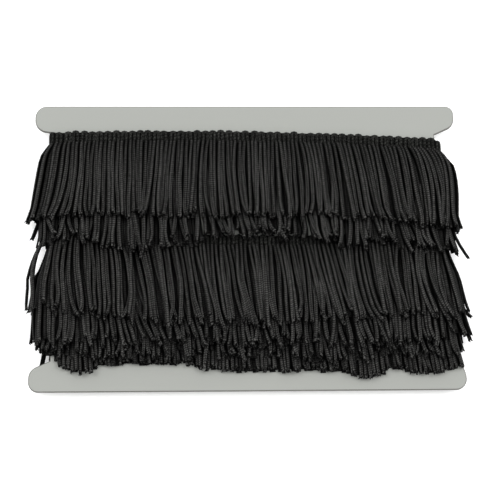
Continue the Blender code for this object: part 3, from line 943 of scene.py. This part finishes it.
# How light the yarn is, from its darkest to its lightest strand and from its darkest to its lightest fibre.
STRAND_TONES = (0.8, 1.2)
FIBRE_TONES = (0.55, 1.45)
YARN_ROUGHNESS = (0.45, 0.75)
YARN_SPECULAR = 0.03
FIBRE_HEIGHT = 0.2
YARN_BUMP = {"Strength": 0.6, "Distance": 0.3 * MM}
# Painted shade from ambient occlusion: yarn is black where the share of open space within this reach is under
# the first number, and at its lightest where it is over the second.
OPEN_REACH = 8 * MM
OPEN_RANGE = (0.34, 0.66)
# The share of a strand's length along which its painted shade lightens from its root, the one at which its
# frayed tip starts, and the mask of the tip's fibres below which they deepen the painted shade and above
# which they lift it.
ROOT_REACH = 0.45
FRAYED_START = 0.955
FRAYED_DARK = 0.7

# The board's fine pulp fibres and broad mottling, and how they change its tone and finish.
PULP_FIBRES = {"Scale": 1400.0, "Contrast": 0.8}
MOTTLING = {"Scale": 22.0, "Contrast": 0.7}
BOARD_TONES = (0.95, 1.0)
BOARD_ROUGHNESS = (0.68, 0.83)
BOARD_BUMP = {"Strength": 0.25, "Distance": 0.05 * MM}

# The floor's faint mottling and its finish.
FLOOR_FIBRES = {"Scale": 6.0, "Contrast": 0.5}
FLOOR_TONES = (0.99, 1.01)
FLOOR_ROUGHNESS = 0.9


def add_node(tree, kind, inputs=None, **settings):
    """A new node with these settings, whose inputs take a value or another node's output."""
    made = tree.nodes.new(kind)
    for name, value in settings.items():
        setattr(made, name, value)
    for key, value in (inputs or {}).items():
        if isinstance(value, bpy.types.NodeSocket):
            tree.links.new(value, made.inputs[key])
        else:
            made.inputs[key].default_value = value
    return made


def calc(tree, operation, first, second=0.0, third=0.0):
    """The output of a Math node."""
    inputs = {0: first, 1: second, 2: third}
    return add_node(tree, "ShaderNodeMath", inputs, operation=operation).outputs[0]


def mixed(tree, share, first, second, blend="MIX"):
    """The colour output of a Mix node, whose two colours go in at sockets 6 and 7."""
    inputs = {0: share, 6: first, 7: second}
    return add_node(tree, "ShaderNodeMix", inputs, data_type="RGBA", blend_type=blend).outputs[2]


def ranged(tree, share, low, high):
    """A value that goes from low to high as the share goes from 0 to 1."""
    return calc(tree, "MULTIPLY_ADD", share, high - low, low)


def stepped(tree, value, low, high):
    """0 below the low value and 1 above the high one, with a soft step between them."""
    inputs = {"Value": value, "From Min": low, "From Max": high}
    return add_node(tree, "ShaderNodeMapRange", inputs, interpolation_type="SMOOTHSTEP").outputs["Result"]


def paint(tree, shader, colour, tone):
    """Gives the shader the colour times the tone."""
    grey = add_node(tree, "ShaderNodeCombineXYZ", {0: tone, 1: tone, 2: tone}).outputs[0]
    tree.links.new(mixed(tree, 1.0, colour, grey, "MULTIPLY"), shader.inputs["Base Color"])


def emboss(tree, shader, height, bump):
    """Gives the shader the relief of these heights."""
    made = add_node(tree, "ShaderNodeBump", {**bump, "Height": height})
    tree.links.new(made.outputs[0], shader.inputs["Normal"])


def new_group(name, inputs, outputs):
    """An empty shader group with named sockets, and its input node's outputs by name."""
    tree = bpy.data.node_groups.new(name, "ShaderNodeTree")
    for label, kind in inputs.items():
        tree.interface.new_socket(label, in_out="INPUT", socket_type=kind)
    for label, kind in outputs.items():
        tree.interface.new_socket(label, in_out="OUTPUT", socket_type=kind)
    return tree, tree.nodes.new("NodeGroupInput").outputs, tree.nodes.new("NodeGroupOutput").inputs


def use_group(tree, name, inputs):
    return add_node(tree, "ShaderNodeGroup", inputs, node_tree=bpy.data.node_groups[name]).outputs


def build_chain_group():
    """Columns of V-shaped stitches, from a place round the cord in columns and along it in stitches."""
    number = "NodeSocketFloat"
    tree, given, made = new_group("Chain stitches", {"Around": number, "Along": number}, {"Relief": number})
    off_middle = calc(tree, "ABSOLUTE", calc(tree, "SUBTRACT", calc(tree, "FRACT", given["Around"]), 0.5))
    slanted = calc(tree, "MULTIPLY_ADD", off_middle, STITCH_STEEPNESS, given["Along"])
    wave = calc(tree, "COSINE", calc(tree, "MULTIPLY", slanted, math.tau))
    ridge = calc(tree, "MULTIPLY_ADD", wave, 0.5, 0.5)
    rim = calc(tree, "POWER", calc(tree, "MULTIPLY", off_middle, 2.0), COLUMN_FLATNESS)
    tree.links.new(calc(tree, "MULTIPLY", ridge, calc(tree, "SUBTRACT", 1.0, rim)), made["Relief"])


def build_flank_group():
    """1 along the outward face of a cord and 0 down its flanks, from the share of the way round."""
    number = "NodeSocketFloat"
    tree, given, made = new_group(
        "Cord flank shade", {"Around": number, "Dark below": number, "Light above": number}, {"Crown": number}
    )
    # A mask of painted shade: where it is 0 the cord's flanks take the shade colour.
    turned = calc(tree, "MULTIPLY", calc(tree, "SUBTRACT", given["Around"], CROWN_SHARE), math.tau)
    crown = stepped(tree, calc(tree, "COSINE", turned), given["Dark below"], given["Light above"])
    tree.links.new(crown, made["Crown"])


def build_fibre_group():
    """Fine uneven fibres: a mask round 0.5."""
    number = "NodeSocketFloat"
    tree, given, made = new_group(
        "Fibres", {"Place": "NodeSocketVector", "Scale": number, "Contrast": number}, {"Mask": number}
    )
    inputs = {"Vector": given["Place"], "Scale": given["Scale"], "Detail": 3.0}
    noise = add_node(tree, "ShaderNodeTexNoise", inputs)
    away = calc(tree, "SUBTRACT", noise.outputs["Fac"], 0.5)
    tree.links.new(calc(tree, "MULTIPLY_ADD", away, given["Contrast"], 0.5), made["Mask"])


def new_material(name):
    """A material, its node tree, its Principled shader and its Object coordinates."""
    material = bpy.data.materials.new(name)
    material.use_nodes = True
    tree = material.node_tree
    place = tree.nodes.new("ShaderNodeTexCoord").outputs["Object"]
    return material, tree, tree.nodes["Principled BSDF"], place


def fibres_of(tree, place, fibres):
    return use_group(tree, "Fibres", {"Place": place, **fibres})["Mask"]


def full(colour):
    return (*colour, 1.0)


def yarn_material(name, colour, settings, knit, root_shade_tone=1.0):
    """Knitted yarn: chain stitches round the cord, and each cord a little lighter or darker than the next.

    It is darkened with painted shade where other yarn crowds it, down a cord's flanks, between its stitches
    and towards a strand's root.
    """
    material, tree, shader, place = new_material(name)
    wales, stitches = knit
    uv = add_node(tree, "ShaderNodeSeparateXYZ", {0: tree.nodes.new("ShaderNodeUVMap").outputs[0]}).outputs
    number = calc(tree, "FLOOR", uv["X"])
    own = add_node(tree, "ShaderNodeTexWhiteNoise", {"W": number}, noise_dimensions="1D").outputs["Value"]
    twist = calc(tree, "MULTIPLY", calc(tree, "SUBTRACT", own, 0.5), TWIST_SPREAD)
    start = calc(tree, "MULTIPLY_ADD", uv["Y"], twist, 0.5 - CROWN_SHARE * wales)
    around = calc(tree, "MULTIPLY_ADD", calc(tree, "FRACT", uv["X"]), wales, start)
    phase = calc(tree, "MULTIPLY_ADD", own, START_SPREAD, calc(tree, "MULTIPLY", around, COLUMN_STEP))
    along = calc(tree, "MULTIPLY_ADD", uv["Y"], stitches, phase)
    relief = use_group(tree, "Chain stitches", {"Around": around, "Along": along})["Relief"]
    crown = use_group(tree, "Cord flank shade", {"Around": uv["X"], **FLANK_SHADE})["Crown"]
    # Painted shade: down the cord's flanks and in the hollows between its stitches the yarn takes the shade
    # colour.
    lit = calc(tree, "MULTIPLY", crown, ranged(tree, relief, settings.stitch_shade_lightness, 1.0))
    # At the cut tip fibre noise lifts the painted shade in some specks and deepens it in others.
    cut = calc(tree, "MULTIPLY", calc(tree, "GREATER_THAN", uv["Y"], FRAYED_START), settings.tip_shade_speckle)
    frizz = calc(tree, "SUBTRACT", fibres_of(tree, place, FRAYED_FIBRES), FRAYED_DARK)
    lit = calc(tree, "MULTIPLY_ADD", cut, frizz, lit)
    fibres = fibres_of(tree, place, YARN_FIBRES)
    tone = calc(tree, "MULTIPLY", ranged(tree, own, *STRAND_TONES), ranged(tree, fibres, *FIBRE_TONES))
    # Painted shade where other yarn crowds in, from an ambient occlusion node.
    near = add_node(tree, "ShaderNodeAmbientOcclusion", {"Distance": OPEN_REACH}, samples=4).outputs["AO"]
    occlusion_shade = stepped(tree, near, *OPEN_RANGE)
    # Painted shade towards the strand's root, where it leaves the heading.
    inputs = {"Value": uv["Y"], "From Max": ROOT_REACH, "To Min": root_shade_tone}
    drawn = add_node(tree, "ShaderNodeMapRange", inputs).outputs["Result"]
    tone = calc(tree, "MULTIPLY", tone, calc(tree, "MULTIPLY", occlusion_shade, drawn))
    paint(tree, shader, mixed(tree, lit, full(settings.stitch_and_flank_shade_colour), full(colour)), tone)
    tree.links.new(ranged(tree, fibres, *YARN_ROUGHNESS), shader.inputs["Roughness"])
    emboss(tree, shader, calc(tree, "MULTIPLY_ADD", fibres, FIBRE_HEIGHT, relief), YARN_BUMP)
    shader.inputs["Specular IOR Level"].default_value = YARN_SPECULAR
    return material


def board_material(name, colour):
    """Smooth grey board: faint mottling and fine pulp fibres."""
    material, tree, shader, place = new_material(name)
    pulp = fibres_of(tree, place, PULP_FIBRES)
    uneven = calc(tree, "ADD", pulp, fibres_of(tree, place, MOTTLING))
    paint(tree, shader, full(colour), ranged(tree, uneven, *BOARD_TONES))
    tree.links.new(ranged(tree, pulp, *BOARD_ROUGHNESS), shader.inputs["Roughness"])
    emboss(tree, shader, pulp, BOARD_BUMP)
    return material


def build_groups():
    """The shader groups that several materials share, made once."""
    if "Fibres" not in bpy.data.node_groups:
        build_chain_group()
        build_flank_group()
        build_fibre_group()


# The card

def arc(centre_x, centre_y, radius, start, end, steps=8):
    """Points along an arc, both ends included, with angles in degrees."""
    angles = np.radians(np.linspace(start, end, steps + 1))
    return [(centre_x + radius * math.cos(angle), centre_y + radius * math.sin(angle)) for angle in angles]


# One of the card's corners: the radius of its outer corner and of the one towards the waist, how steeply the
# shoulder between that and the waist slopes in degrees, and how far the waist reaches from the middle line.
Corner = namedtuple("Corner", "outer_radius inner_radius slope neck")
CORNERS = {
    "top right": Corner(4.6 * MM, 6.5 * MM, 25, 65.2 * MM),
    "top left": Corner(6.6 * MM, 7.0 * MM, 8, 66.2 * MM),
    "bottom left": Corner(5.4 * MM, 6.5 * MM, 24, 65.3 * MM),
    "bottom right": Corner(6.2 * MM, 14.0 * MM, 25, 62.2 * MM),
}


def card_corner(corner):
    """The card's outline in its upper right quarter, from the waist up to the top edge."""
    side, top = CARD_HIGH.x, CARD_HIGH.y
    slope = math.radians(corner.slope)
    shoulder_x = side - corner.inner_radius * (1 - math.sin(slope))
    shoulder_y = corner.neck + (shoulder_x - EDGE_X) * math.tan(slope)
    centre_y = shoulder_y + corner.inner_radius * math.cos(slope)
    lower = arc(side - corner.inner_radius, centre_y, corner.inner_radius, corner.slope - 90, 0)
    outer_radius = min(corner.outer_radius, top - centre_y)
    upper = arc(side - outer_radius, top - outer_radius, outer_radius, 0, 90)
    return [(EDGE_X, corner.neck), *lower, *upper]


class FRINGE_OT_add_card(bpy.types.Operator):
    """Adds the dog-bone card that the fringe is wound on"""
    bl_idname = "wound_fringe.add_card"
    bl_label = "Add card"

    def execute(self, context):
        settings = context.scene.wound_fringe_card
        build_groups()
        found = {place: card_corner(corner) for place, corner in CORNERS.items()}
        outline = [(x, -y) for x, y in reversed(found["bottom right"])] + found["top right"]
        outline += [(-x, y) for x, y in reversed(found["top left"])]
        outline += [(-x, -y) for x, y in found["bottom left"]]
        mesh = bmesh.new()
        face = mesh.faces.new([mesh.verts.new((x, y, CARD_LOW.z)) for x, y in outline])
        raised = bmesh.ops.extrude_face_region(mesh, geom=[face])["geom"]
        moved = [item for item in raised if isinstance(item, bmesh.types.BMVert)]
        bmesh.ops.translate(mesh, vec=(0, 0, CARD_HIGH.z - CARD_LOW.z), verts=moved)
        bmesh.ops.remove_doubles(mesh, verts=mesh.verts, dist=0.01 * MM)
        bmesh.ops.recalc_face_normals(mesh, faces=mesh.faces)
        rims = [edge for face in mesh.faces if len(face.verts) > 4 for edge in face.edges]
        bmesh.ops.bevel(mesh, geom=rims, offset=settings.edge_rounding, offset_type="OFFSET", affect="EDGES",
                        segments=2, profile=0.5, material=-1)
        for face in mesh.faces:
            face.smooth = len(face.verts) == 4
            face.material_index = 1 if face.smooth else 0
        data = finished(mesh, "board")
        data.materials.append(board_material("Grey board face", settings.face_colour))
        # The rounded rims take the darker cut-edge colour: grey pulp with painted shade.
        data.materials.append(board_material("Grey board cut edge with painted shade", settings.cut_edge_colour_and_shade))
        add_piece("board", data, "card")
        return {"FINISHED"}


# Buttons for the heading and the strands

class FRINGE_OT_add_heading(bpy.types.Operator):
    """Adds the wound heading: its cords' loops, its rows of stitches and its knitted ground"""
    bl_idname = "wound_fringe.add_heading"
    bl_label = "Add heading"

    def execute(self, context):
        settings = context.scene.wound_fringe
        build_groups()
        # The knitted ground between the cords takes the darker copy of the yarn, as painted shade.
        cords, ground, thread = (yarn_material(name, colour, settings, knit) for name, colour, knit in (
            ("Black heading yarn", settings.heading_colour, HEADING_KNIT),
            ("Black knitted ground in painted shade", settings.shaded_yarn_colour, HEADING_KNIT),
            ("Black stitching thread", settings.heading_colour, THREAD_KNIT),
        ))
        add_web(settings, ground)
        chance = np.random.default_rng(settings.seed)
        add_loops(settings, chance, cords)
        add_stitches(settings, chance, thread)
        return {"FINISHED"}


class FRINGE_OT_add_strands(bpy.types.Operator):
    """Adds the strands, laid turn by turn over those under them"""
    bl_idname = "wound_fringe.add_strands"
    bl_label = "Add strands"

    def execute(self, context):
        settings = context.scene.wound_fringe
        build_groups()
        # The strands behind take a darker copy of the yarn: painted shade deep in the fringe.
        yarns = {
            "Black yarn in painted shade, deep in the fringe": settings.shaded_yarn_colour,
            "Black chainette yarn": settings.yarn_colour,
        }
        materials = [
            yarn_material(name, colour, settings, STRAND_KNIT, settings.root_shade_tone)
            for name, colour in yarns.items()
        ]
        chance = np.random.default_rng(settings.seed)
        piles = {side: Pile(settings.strand_width, settings.strand_thickness) for side in FACES}
        ends = []
        for turn in range(LAST_TURN + 1):
            stretches = [stretch for stretch in wound_stretches() if max(stretch.turn, 0) == turn]
            name = f"strands_turn_{turn + 1}"
            ends.append(add_strands(name, stretches, piles, chance, settings, materials))
        add_loose_ends(ends, settings, materials[1])
        return {"FINISHED"}


# The stage

class FRINGE_OT_add_stage(bpy.types.Operator):
    """Adds the pale floor, the soft lights and the camera"""
    bl_idname = "wound_fringe.add_stage"
    bl_label = "Add stage"

    def execute(self, context):
        settings = context.scene.wound_fringe_stage
        add_floor(settings)
        add_lights(context.scene, settings)
        add_camera(context.scene, settings)
        context.scene.view_settings.view_transform = "Standard"
        return {"FINISHED"}


def add_floor(settings):
    mesh = bmesh.new()
    bmesh.ops.create_grid(mesh, x_segments=1, y_segments=1, size=settings.floor_size / 2)
    data = finished(mesh, "floor")
    material, tree, shader, place = new_material("Pale floor")
    build_groups()
    tone = ranged(tree, fibres_of(tree, place, FLOOR_FIBRES), *FLOOR_TONES)
    paint(tree, shader, full(settings.floor_colour), tone)
    shader.inputs["Roughness"].default_value = FLOOR_ROUGHNESS
    shader.inputs["Emission Color"].default_value = full(settings.floor_colour)
    shader.inputs["Emission Strength"].default_value = settings.floor_glow
    data.materials.append(material)
    floor = bpy.data.objects.new("floor", data)
    bpy.context.scene.collection.objects.link(floor)


# The sky's horizon: how steeply the backdrop fades upwards, and how softly it ends. The lamps' size, and the
# place of the one on the right.
HORIZON_STEEPNESS = 3.0
HORIZON_SOFTNESS = 0.2
LAMP_SIZE = (0.6, 0.8)
LAMP_PLACE = (0.55, 0.1, 1.15)


def add_lights(scene, settings):
    """Two soft side lights under a dim sky with a pale backdrop all round."""
    world = bpy.data.worlds.new("Pale sky")
    world.use_nodes = True
    tree = world.node_tree
    direction = tree.nodes.new("ShaderNodeTexCoord").outputs["Generated"]
    height = add_node(tree, "ShaderNodeSeparateXYZ", {0: direction}).outputs["Z"]
    lowness = calc(tree, "SUBTRACT", 1.0, calc(tree, "MULTIPLY", height, HORIZON_STEEPNESS))
    low = calc(tree, "SMOOTH_MAX", lowness, 0.0, HORIZON_SOFTNESS)
    strength = ranged(tree, low, settings.sky_strength, settings.horizon_strength)
    tree.links.new(strength, tree.nodes["Background"].inputs["Strength"])
    tree.nodes["Background"].inputs["Color"].default_value = (1.0, 1.0, 1.0, 1.0)
    scene.world = world
    for side in (-1, 1):
        light = bpy.data.lights.new("Side light", "AREA")
        light.shape = "RECTANGLE"
        light.size, light.size_y = LAMP_SIZE
        light.energy = settings.key_power
        lamp = bpy.data.objects.new("Side light", light)
        lamp.location = LAMP_PLACE
        lamp.location.x *= side
        lamp.rotation_euler = (-lamp.location).to_track_quat("-Z", "Y").to_euler()
        scene.collection.objects.link(lamp)


# The camera's sensor, in millimetres, and the height along the card that it looks at.
SENSOR_WIDTH = 36.0
AIM_Y = -3 * MM


def add_camera(scene, settings):
    """The photograph's view: nearly straight down, from the tips' side of the card."""
    lens = bpy.data.cameras.new("Camera")
    lens.sensor_width = SENSOR_WIDTH
    lens.lens = settings.focal_length
    lens.shift_x = settings.shift
    camera = bpy.data.objects.new("Camera", lens)
    aim = Vector((0, AIM_Y, CARD_HIGH.z))
    turned = (
        Matrix.Rotation(settings.camera_turn, 3, "Z")
        @ Matrix.Rotation(settings.camera_tilt, 3, "X")
        @ Matrix.Rotation(settings.camera_roll, 3, "Z")
    )
    camera.location = aim + settings.camera_distance * turned.col[2]
    camera.rotation_euler = turned.to_euler()
    scene.collection.objects.link(camera)
    scene.camera = camera


# The panel

class FRINGE_PT_panel(bpy.types.Panel):
    """Sizes, colours and buttons for the wound fringe"""
    bl_idname = "FRINGE_PT_panel"
    bl_label = "Wound fringe"
    bl_space_type = "VIEW_3D"
    bl_region_type = "UI"
    bl_category = "Fringe"

    def draw(self, context):
        for label, group, operators in SECTIONS:
            self.layout.label(text=label)
            settings = getattr(context.scene, group)
            for name in settings.__annotations__:
                self.layout.prop(settings, name)
            for operator in operators:
                self.layout.operator(operator.bl_idname)


SECTIONS = (
    ("Card", "wound_fringe_card", (FRINGE_OT_add_card,)),
    ("Fringe", "wound_fringe", (FRINGE_OT_add_heading, FRINGE_OT_add_strands)),
    ("Stage", "wound_fringe_stage", (FRINGE_OT_add_stage,)),
)
SETTINGS = {
    "wound_fringe_card": CardSettings,
    "wound_fringe": FringeSettings,
    "wound_fringe_stage": StageSettings,
}
OPERATORS = (FRINGE_OT_add_card, FRINGE_OT_add_heading, FRINGE_OT_add_strands, FRINGE_OT_add_stage)


def register():
    for item in (*SETTINGS.values(), *OPERATORS, FRINGE_PT_panel):
        bpy.utils.register_class(item)
    for name, group in SETTINGS.items():
        setattr(bpy.types.Scene, name, bpy.props.PointerProperty(type=group))


def unregister():
    for name in SETTINGS:
        delattr(bpy.types.Scene, name)
    for item in reversed((*SETTINGS.values(), *OPERATORS, FRINGE_PT_panel)):
        bpy.utils.unregister_class(item)


def main():
    register()
    bpy.ops.wound_fringe.add_card()
    bpy.ops.wound_fringe.add_heading()
    bpy.ops.wound_fringe.add_strands()
    bpy.ops.wound_fringe.add_stage()


if __name__ == "__main__":
    main()
